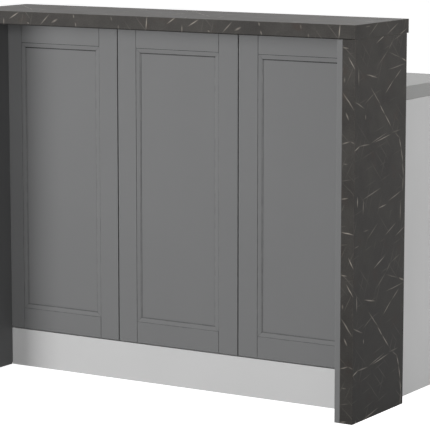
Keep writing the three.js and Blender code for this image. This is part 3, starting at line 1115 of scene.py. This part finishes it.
@dataclass
class FixedFront:
    """A fixed front of two stiles, two rails and a panel behind their lips."""

    name: str
    moulding: Moulding

    def section(self, border: float, depth: float) -> Array:
        """Closed section of a member as (across, depth), its panel side positive.

        Args:
            border: Width of the flat border.
            depth: Thickness of the member.

        Returns:
            (n, 2) points of the section.
        """
        m = self.moulding
        moulded, radii = m.corners()
        outline = [[-border, 0.0], *moulded, [m.width, m.lip], [0.0, m.lip]]
        outline += [[0.0, depth], [-border, depth]]
        return eased(outline, [m.arris, *radii, m.soft, 0.0, m.arris, m.arris])

    def member(self, length: float, lip_length: float, border: float, depth: float) -> Shape:
        """A stile or rail lying along its own first axis.

        Each ring is the section at one place. The lip's ends are mitred: its point at a distance u
        past the border ends at half the lip's length less u. Past the mitre the lip is folded back
        on the border's edge, and the last rings draw the border in by radius * (1 - cos t) as they
        run out to the end by radius * sin t.

        Args:
            length: Length of the border.
            lip_length: Length of the lip at the border's edge.
            border: Width of the flat border.
            depth: Thickness of the member.

        Returns:
            The closed surface.
        """
        m = self.moulding
        section = self.section(border, depth)
        past = section[:, 0].clip(0)
        plain = np.column_stack([section[:, 0].clip(None, 0), section[:, 1]])
        inner = plain[:, 0] > -WELD
        plain[inner, 1] = np.maximum.accumulate(plain[inner, 1])
        end, flat = length / 2, length / 2 - m.arris
        mitre = np.minimum(lip_length / 2 - past, flat)
        fold = min(lip_length / 2, flat)
        steps = [(mitre - SUPPORT, section), (mitre, section), (fold, plain)]
        if lip_length / 2 < flat - SUPPORT:
            steps.append((flat - SUPPORT, plain))
        middle = np.array([-border / 2, depth / 2])
        for t in QUARTER:
            shrunk = np.array([border, depth]) / 2 - m.arris * (1 - math.cos(t))
            ring = (plain - middle).clip(-shrunk, shrunk) + middle
            steps.append((end - m.arris * (1 - math.sin(t)), ring))
        rings = [np.column_stack([at + 0 * past, ring]) for at, ring in steps]
        half = np.stack(rings)
        return lattice(np.concatenate([half[::-1] * [-1, 1, 1], half]))

    def build(self) -> None:
        """Makes the five pieces in the boxes of their parts."""
        panel = Box.of(f"front_{self.name}_panel")
        for end, side, along, across in (
            ("stile_left", -1, Axis.Z.value, Axis.X.value),
            ("stile_right", 1, Axis.Z.value, Axis.X.value),
            ("rail_bottom", -1, Axis.X.value, Axis.Z.value),
            ("rail_top", 1, Axis.X.value, Axis.Z.value),
        ):
            node = f"front_{self.name}_{end}"
            box = Box.of(node)
            border = box.size[across] - self.moulding.width
            shape = self.member(box.size[along], panel.size[along], border, box.size[1])
            origin, axes = box.centre, np.zeros((3, 3))
            outer = box.high if side > 0 else box.low
            origin[across], origin[1] = outer[across] - side * border, box.low[1]
            axes[0, along], axes[1, across], axes[2, 1] = 1, -side, 1
            make(f"{node}_member", shape.placed(origin, axes), FINISH.grey, ISLAND, [node])
        dress_board(f"front_{self.name}_panel", FINISH.grey, ISLAND, self.moulding.arris)


@dataclass
class RoutedFront:
    """A one-piece framed board: the same moulding cut round a sunk field."""

    moulding: Moulding
    border: float = 62 * MM
    outer_corner: float = 1.0 * MM
    cut_corner: float = 1.6 * MM

    def shape(self, box: Box) -> Shape:
        """The board in its box, facing +Y.

        Ring i is the box's outline drawn in by the profile's first value, at the height over the
        back of its second. Each corner is a centre plus the ring's radius at equal angles.

        Args:
            box: The board's outer box.

        Returns:
            The closed surface.
        """
        m = self.moulding
        moulded, radii = m.corners()
        depth = box.size[1]
        face, start = depth - m.lip - m.field_gap, self.border + m.width
        corners = [[m.field_margin, 0.0], [0.0, 0.0], [0.0, depth]]
        corners += [[self.border + u, depth - down] for u, down in moulded]
        corners += [[start, face], [start + m.field_margin, face]]
        profile = eased(corners, [0.0, m.arris, m.arris, *radii, 0.0, 0.0], closed=False)
        places = [0, self.border / 2, self.border]
        radius = np.interp(profile[:, 0], places, [self.outer_corner] * 2 + [self.cut_corner])
        angle = (np.arange(4)[:, None] * math.pi / 2 + QUARTER).ravel()
        sign = np.repeat([[1, 1], [-1, 1], [-1, -1], [1, -1]], ARC_STEPS + 1, axis=0)
        half = box.size[[0, 2]] / 2
        centre = sign * (half - (profile[:, 0] + radius)[:, None, None])
        arm = np.stack([np.cos(angle), np.sin(angle)], axis=-1) * radius[:, None, None]
        flat = centre + arm
        rise = profile[:, 1][:, None] + 0 * flat[..., 0]
        rings = np.stack([flat[..., 0], rise, flat[..., 1]], axis=-1)
        return lattice(rings + np.array([box.centre[0], box.low[1], box.centre[2]]))


@dataclass
class Knob:
    """A turned knob on a short neck, its end slightly crowned."""

    foot: float = 9 * MM
    foot_height: float = 2 * MM
    neck: float = 6 * MM
    slope: float = 2 * MM  # height of the slope at either end of the neck
    head_start: float = 10.8 * MM
    flare: float = 3 * MM  # the head's slope behind its widest part
    rim: float = 4 * MM
    crown: float = 5 * MM
    eases: tuple[float, ...] = (0.0, 0.3, 0.8, 1.5, 2.5, 1.5, 2.0, 2.0, 6.0, 0.0)  # mm
    around: int = 64

    def shape(self, box: Box) -> Shape:
        """The knob in its box, its foot at the low Y side.

        Args:
            box: The knob's outer box.

        Returns:
            The closed surface.
        """
        radius, reach = box.size[0] / 2, box.size[1]
        corners = [
            [0.0, 0.0], [self.foot, 0.0], [self.foot, self.foot_height],
            [self.neck, self.foot_height + self.slope], [self.neck, self.head_start - self.slope],
            [radius - self.flare, self.head_start], [radius, self.head_start + self.flare],
            [radius, reach - self.rim], [radius - self.crown, reach], [0.0, reach],
        ]
        profile = eased(corners, [ease * MM for ease in self.eases], closed=False)
        origin = (box.centre[0], box.low[1], box.centre[2])
        return turned(profile, self.around).placed(origin, [[1, 0, 0], [0, 0, 1], [0, 1, 0]])


@dataclass
class Hinge:
    """A butt hinge of two leaves round a pin, each leaf a plate with its own knuckles."""

    side: int
    knuckles: int = 5
    radius: float = 3.5 * MM
    seam: float = 0.3 * MM
    corner: float = 3 * MM
    thickness: float = 1 * MM
    stand: float = 0.2 * MM  # between the pin's middle and a plate
    tongue: float = 0.7  # how deep a tongue reaches, by the knuckle's radius
    ease: float = 0.3 * MM
    pin: float = 1.5 * MM
    head: float = 2.9 * MM
    head_rise: float = 0.12 * MM
    head_depth: float = 0.8 * MM
    slot_half: float = 0.4 * MM
    slot_reach: float = 0.6  # of the head's radius
    slot_depth: float = 0.5 * MM
    around: int = 40
    head_rings: int = 13
    head_around: int = 48
    screws: tuple = ((9 * MM, -21 * MM), (16.5 * MM, 0.0), (9 * MM, 21 * MM))  # inwards, up

    def plate(self, reach: float, height: float, first: int) -> Shape:
        """A leaf's plate with a tongue at each of its knuckles: (inwards, up, thickness).

        Args:
            reach: How far the plate goes from the pin's axis.
            height: Height of the hinge.
            first: Number of the leaf's lowest knuckle.

        Returns:
            The closed surface.
        """
        pitch, end = height / self.knuckles, height / 2
        outline, radii = [[reach, -end], [reach, end]], [self.corner] * 2
        for i in reversed(range(self.knuckles)):
            own = i % 2 == first
            near = self.tongue * self.radius if own else self.radius + self.seam
            top = end if i == self.knuckles - 1 else -end + (i + 1) * pitch
            low = -end if i == 0 else top - pitch
            inset = self.seam / 2 if own else -self.seam / 2
            outline += [[near, top - inset], [near, low + inset]]
            radii += [0.0, 0.0]
        return prism(eased(outline, radii), 0.0, self.thickness, self.thickness / 6, self.seam)

    def rod(self, radius: float, low: float, high: float, ease: float) -> Shape:
        """A short cylinder with eased ends about the third axis."""
        corners = [[0.0, low], [radius, low], [radius, high], [0.0, high]]
        return turned(eased(corners, [0.0, ease, ease, 0.0], closed=False), self.around)

    def barrel(self, height: float, first: int) -> list[Shape]:
        """The leaf's knuckles, and the pin in the leaf that has the lowest one.

        Args:
            height: Height of the hinge.
            first: Number of the leaf's lowest knuckle.

        Returns:
            One shape for each rod.
        """
        pitch, end, gap = height / self.knuckles, height / 2, self.seam / 2
        made = []
        for i in range(first, self.knuckles, 2):
            low, high = -end + i * pitch + gap, -end + (i + 1) * pitch - gap
            made.append(self.rod(self.radius, low, high, self.ease))
        if first == 0:
            made.append(self.rod(self.pin, -end, end, self.pin / 8))
        return made

    def screw(self) -> Shape:
        """A countersunk head: a dome whose cross is sunk where a point is near either arm.

        Ring i, point j is at radius r, and its height is a dome of 1 - (r / head)^2, less the
        depth of the cross where the smaller of |x| and |y| is under the arm's half width.

        Returns:
            The closed surface, its outer face towards its own third axis.
        """
        radius = np.linspace(0, self.head, self.head_rings)[:, None]
        angle = np.linspace(0, 2 * math.pi, self.head_around, endpoint=False)
        x, y = radius * np.cos(angle), radius * np.sin(angle)
        arm = np.minimum(np.abs(x), np.abs(y)) < self.slot_half
        sunk = arm & (radius < self.slot_reach * self.head)
        dome = self.head_rise * (1 - (radius / self.head) ** 2)
        top = np.stack([x, y, dome - np.where(sunk, self.slot_depth, 0.0)], axis=-1)
        under = np.stack([x[-1], y[-1], np.full(len(angle), -self.head_depth)], axis=-1)[None]
        return lattice(np.concatenate([top, under, under * [0, 0, 1]]), closed=False)

    def leaf(self, node: str, other: str, body: str, first: int) -> None:
        """Makes one leaf: its plate, knuckles, and the screws in it.

        Args:
            node: The leaf's part.
            other: The other leaf's part.
            body: The body that the leaf rides on.
            first: Number of its lowest knuckle, which is 0 on the frame's leaf.
        """
        box, pair = Box.of(node), Box.of(other)
        outer, inner = (box.high[0], box.low[0]) if self.side > 0 else (box.low[0], box.high[0])
        x = outer - self.side * self.radius
        y = (max(box.high[1], pair.high[1]) + min(box.low[1], pair.low[1])) / 2
        facing, height = (1, pair.size[2]) if first else (-1, box.size[2])
        axis = np.array([x, y, box.centre[2]])
        origin = axis + [0, facing * self.stand, 0]
        plate = self.plate(abs(inner - x), height, first)
        plate = plate.placed(origin, [[-self.side, 0, 0], [0, 0, 1], [0, facing, 0]])
        barrel = [rod.placed(axis, np.eye(3)) for rod in self.barrel(height, first)]
        make(f"{node}_plate", plate.joined(*barrel), FINISH.steel, body, [node])
        inwards = [[-self.side, 0, 0], [0, 0, 1], [0, -facing, 0]]
        heads = [self.screw().placed(origin + [-self.side * across, 0, up], inwards)
                 for across, up in self.screws]
        make(f"{node}_screws", heads[0].joined(*heads[1:]), FINISH.steel, body)

    def build(self, name: str, end: str, door: str) -> None:
        """Makes both leaves with their screws.

        Args:
            name: Which door it hangs.
            end: Lower or upper.
            door: The door's body.
        """
        frame_leaf, door_leaf = (f"hinge_{leaf}_leaf_{name}_{end}" for leaf in ("frame", "door"))
        self.leaf(frame_leaf, door_leaf, ISLAND, 0)
        self.leaf(door_leaf, frame_leaf, door, 1)


@dataclass
class Door:
    """A pale framed door on the kitchen side, with its knob and two hinges."""

    name: str
    side: int
    front: RoutedFront
    knob: Knob

    def build(self) -> None:
        """Makes the door's pieces."""
        body, knob = f"door_{self.name}", f"door_knob_{self.name}"
        make(f"{body}_slab", self.front.shape(Box.of(body)), FINISH.pale, body, [body])
        make(f"{knob}_turned", self.knob.shape(Box.of(knob)), FINISH.steel, body, [knob])
        for end in ("lower", "upper"):
            Hinge(self.side).build(self.name, end, body)


@dataclass
class Drawer:
    """A drawer: a framed front with its knob, on a grooved beech box that runs on two strips."""

    name: str
    front: RoutedFront
    knob: Knob
    groove: float = 8 * MM
    groove_half: float = 8.9 * MM
    edge: float = 1.0 * MM

    def grooved(self, box: Box, side: int) -> Shape:
        """A drawer side whose outer face has a groove from end to end.

        Its section across the drawer is a rectangle with a notch, carried from back to front.

        Args:
            box: The side's outer box.
            side: -1 on the left and 1 on the right.

        Returns:
            The closed surface.
        """
        width, depth, height = box.size
        floor = width - self.groove
        low, high = height / 2 - self.groove_half, height / 2 + self.groove_half
        corners = [[0.0, 0.0], [width, 0.0], [width, low], [floor, low]]
        corners += [[floor, high], [width, high], [width, height], [0.0, height]]
        edge, half = self.edge, self.edge / 2
        section = eased(corners, [edge, edge, half, 0.0, 0.0, half, edge, edge])
        shape = prism(section, 0.0, depth, edge)
        inner = box.low[0] if side > 0 else box.high[0]
        return shape.placed((inner, *box.low[1:]), [[side, 0, 0], [0, 0, 1], [0, 1, 0]])

    def build(self) -> None:
        """Makes the drawer and its strips."""
        body = f"drawer_{self.name}"
        front, knob = f"{body}_front", f"{body}_knob"
        make(f"{front}_slab", self.front.shape(Box.of(front)), FINISH.pale, body, [front])
        make(f"{knob}_turned", self.knob.shape(Box.of(knob)), FINISH.steel, body, [knob])
        for end, side in SIDES:
            node = f"{body}_side_{end}"
            shape = self.grooved(Box.of(node), side)
            make(f"{node}_board", shape, FINISH.beech_deep, body, [node])
            dress_board(f"runner_{self.name}_{end}", FINISH.beech_deep, ISLAND, self.edge)
        for part in ("back", "bottom"):
            dress_board(f"{body}_{part}", FINISH.beech_wide, body, self.edge)


@dataclass
class Cabinet:
    """The pale cabinet's fixed boards, its plinths, the carrier board and the worktop."""

    edge: float = 0.8 * MM
    worktop_edge: float = 1.5 * MM
    notch_clearance: float = 0.3 * MM

    def divider(self, node: str) -> Shape:
        """A divider whose upper front corner is notched for the top rail.

        Its outline is drawn in depth and height and carried across its thickness.

        Args:
            node: The divider's part.

        Returns:
            The closed surface.
        """
        box, rail = Box.of(node), Box.of("top_rail")
        width, length, height = box.size
        _, back, under = rail.low - box.low - self.notch_clearance
        corners = [[0.0, 0.0], [length, 0.0], [length, under], [back, under]]
        corners += [[back, height], [0.0, height]]
        radii = [self.edge] * 3 + [0.0] + [self.edge] * 2
        shape = prism(eased(corners, radii), 0.0, width, self.edge)
        return shape.placed(box.low, [[0, 1, 0], [0, 0, 1], [1, 0, 0]])

    def build(self) -> None:
        """Makes the cabinet's boards."""
        boards = ["carrier_board", "base_board", "top_rail"]
        for name, _ in SIDES:
            boards += [f"end_panel_{name}", f"shelf_{name}"]
            node = f"divider_{name}"
            make(f"{node}_board", self.divider(node), FINISH.pale, ISLAND, [node])
        for node in boards:
            dress_board(node, FINISH.pale, ISLAND, self.edge)
        for end in ("bar", "kitchen"):
            dress_board(f"plinth_{end}_side", FINISH.plinth, ISLAND, self.edge)
        dress_board("worktop", FINISH.worktop, ISLAND, self.worktop_edge)


# ------------------------------------------------------------------------------ studio
@dataclass
class Softbox:
    """A soft rectangular lamp aimed at the unit."""

    name: str
    azimuth: float  # degrees round from the seating side, positive towards +X
    height: float
    distance: float
    width: float
    tall: float
    share: float  # of full white that it gives a pale face turned to it
    aim: tuple[float, float, float] = (0.0, -0.2, 0.6)

    def build(self) -> None:
        """Hangs the lamp. A far lamp of power p lights a facing white surface by p / (pi d)^2."""
        lamp = bpy.data.lights.new(self.name, "AREA")
        lamp.shape = "RECTANGLE"
        lamp.size, lamp.size_y = self.width, self.tall
        turn = math.radians(self.azimuth)
        aim = np.array(self.aim)
        place = aim + self.distance * np.array([math.sin(turn), -math.cos(turn), 0.0])
        place[2] = self.height
        lamp.energy = self.share * (math.pi * float(np.linalg.norm(place - aim))) ** 2
        hung = bpy.data.objects.new(self.name, lamp)
        down = math.atan2(self.height - aim[2], self.distance)
        hung.location = place.tolist()
        hung.rotation_euler = (math.pi / 2 - down, 0.0, turn)
        hung.visible_camera = False
        bpy.context.scene.collection.objects.link(hung)


@dataclass
class Studio:
    """A white floor and surround, six soft lamps and the photograph's camera."""

    ambient: float = 0.165  # the surround's strength as light
    floor_size: float = 80.0
    floor_bounce: float = 0.4  # the floor's tone as light
    floor_cloud: float = 0.04  # share by which that tone varies
    floor_glow: float = 0.86  # what the seen floor shines by, over its shadow
    floor_shade: float = 0.9
    focal_px: float = 2297.6
    image_px: float = 430.0
    sensor: float = 36.0
    yaw: float = 31.72
    pitch: float = 8.65
    eye: tuple[float, float, float] = (3.45306, -5.61874, 1.46805)
    lamps: tuple[Softbox, ...] = (
        Softbox("key", -38, 0.8, 8.0, 4.4, 2.4, 0.63),
        Softbox("fill", 8, 1.9, 7.0, 3.5, 2.4, 0.36),
        Softbox("side", 100, 2.4, 4.5, 2.5, 2.5, 0.33),
        Softbox("top", 0, 5.0, 0.05, 3.0, 3.0, 0.05, (0.0, 0.0, 1.0)),
        Softbox("back", 180, 4.5, 5.0, 4.0, 2.4, 0.30),
        Softbox("left", -110, 2.5, 6.0, 3.0, 2.4, 0.26),
    )

    def seen(self, r: Recipe) -> Value:
        """Picks the rays that should find the white surround: the camera's and mirrored ones.

        Args:
            r: The recipe.

        Returns:
            1 for such rays, else 0.
        """
        path = r.node("LightPath", {}, {})
        names = ("Is Camera Ray", "Is Glossy Ray", "Is Transmission Ray")
        return functools.reduce(Value.most, [Value(r, path.outputs[name]) for name in names])

    def surround(self) -> None:
        """A world that is white where it is seen and dimmer as light."""
        world = bpy.data.worlds.new("surround")
        bpy.context.scene.world = world
        r = Recipe(world)
        strength = self.ambient + (1 - self.ambient) * self.seen(r)
        sockets = {"Color": (1, 1, 1, 1), "Strength": strength}
        r.ended("World", r.value("Background", {}, sockets))

    def floor(self) -> None:
        """A large floor, white where it is seen, that keeps the unit's shadow."""
        r = Recipe.named("studio_floor")
        shares = (1.0, 1 + self.floor_cloud)
        tones = [(self.floor_bounce * share,) * 3 + (1,) for share in shares]
        tone = r.mixed(r.noise(r.place(), 2.0).spread(0.2, 0.8), *tones)
        bounce = r.value("BsdfDiffuse", {}, {"Color": tone})
        shade = r.value("BsdfDiffuse", {}, {"Color": (self.floor_shade,) * 3 + (1,)})
        glow = r.value("Emission", {}, {"Color": (1, 1, 1, 1), "Strength": self.floor_glow})
        lit = r.value("AddShader", {}, {0: shade, 1: glow})
        both = r.value("MixShader", {}, {0: self.seen(r), 1: bounce, 2: lit})
        half = self.floor_size / 2
        corners = [(-half, -half, 0), (half, -half, 0), (half, half, 0), (-half, half, 0)]
        mesh = bpy.data.meshes.new("studio_floor")
        mesh.from_pydata(corners, [], [(0, 1, 2, 3)])
        mesh.materials.append(r.ended("Material", both))
        floor = bpy.data.objects.new("studio_floor", mesh)
        bpy.context.scene.collection.objects.link(floor)
        floor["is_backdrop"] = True

    def camera(self) -> None:
        """The camera at the photograph's place, its lens from the focal length in pixels."""
        lens = bpy.data.cameras.new("photo_camera")
        lens.sensor_width = self.sensor
        lens.lens = self.focal_px / self.image_px * self.sensor
        lens.clip_start, lens.clip_end = 0.1, 200.0
        camera = bpy.data.objects.new("photo_camera", lens)
        camera.location = self.eye
        camera.rotation_euler = (math.radians(90 - self.pitch), 0.0, math.radians(self.yaw))
        bpy.context.scene.collection.objects.link(camera)
        bpy.context.scene.camera = camera

    def build(self) -> None:
        """Sets the whole studio."""
        bpy.context.scene.view_settings.view_transform = "Standard"
        self.surround()
        self.floor()
        for lamp in self.lamps:
            lamp.build()
        self.camera()


def write_sizes() -> None:
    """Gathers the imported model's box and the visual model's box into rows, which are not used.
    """
    boxes = {"cad": CAD_BOX, "visual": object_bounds()}
    rows = {key: [list(corner) for corner in box] for key, box in boxes.items()}


def main() -> None:
    """Builds the studio and every sub-assembly in order."""
    logging.basicConfig(level=logging.INFO, format="%(name)s %(message)s", stream=sys.stdout)
    moulding = Moulding()
    routed, knob = RoutedFront(moulding), Knob()
    Studio().build()
    Bar().build()
    for name in ("left", "middle", "right"):
        FixedFront(name, moulding).build()
    Cabinet().build()
    for name, side in SIDES:
        Door(name, side, routed, knob).build()
    for name in ("lower", "upper"):
        Drawer(name, routed, knob).build()
    write_sizes()


if __name__ == "__main__":
    main()
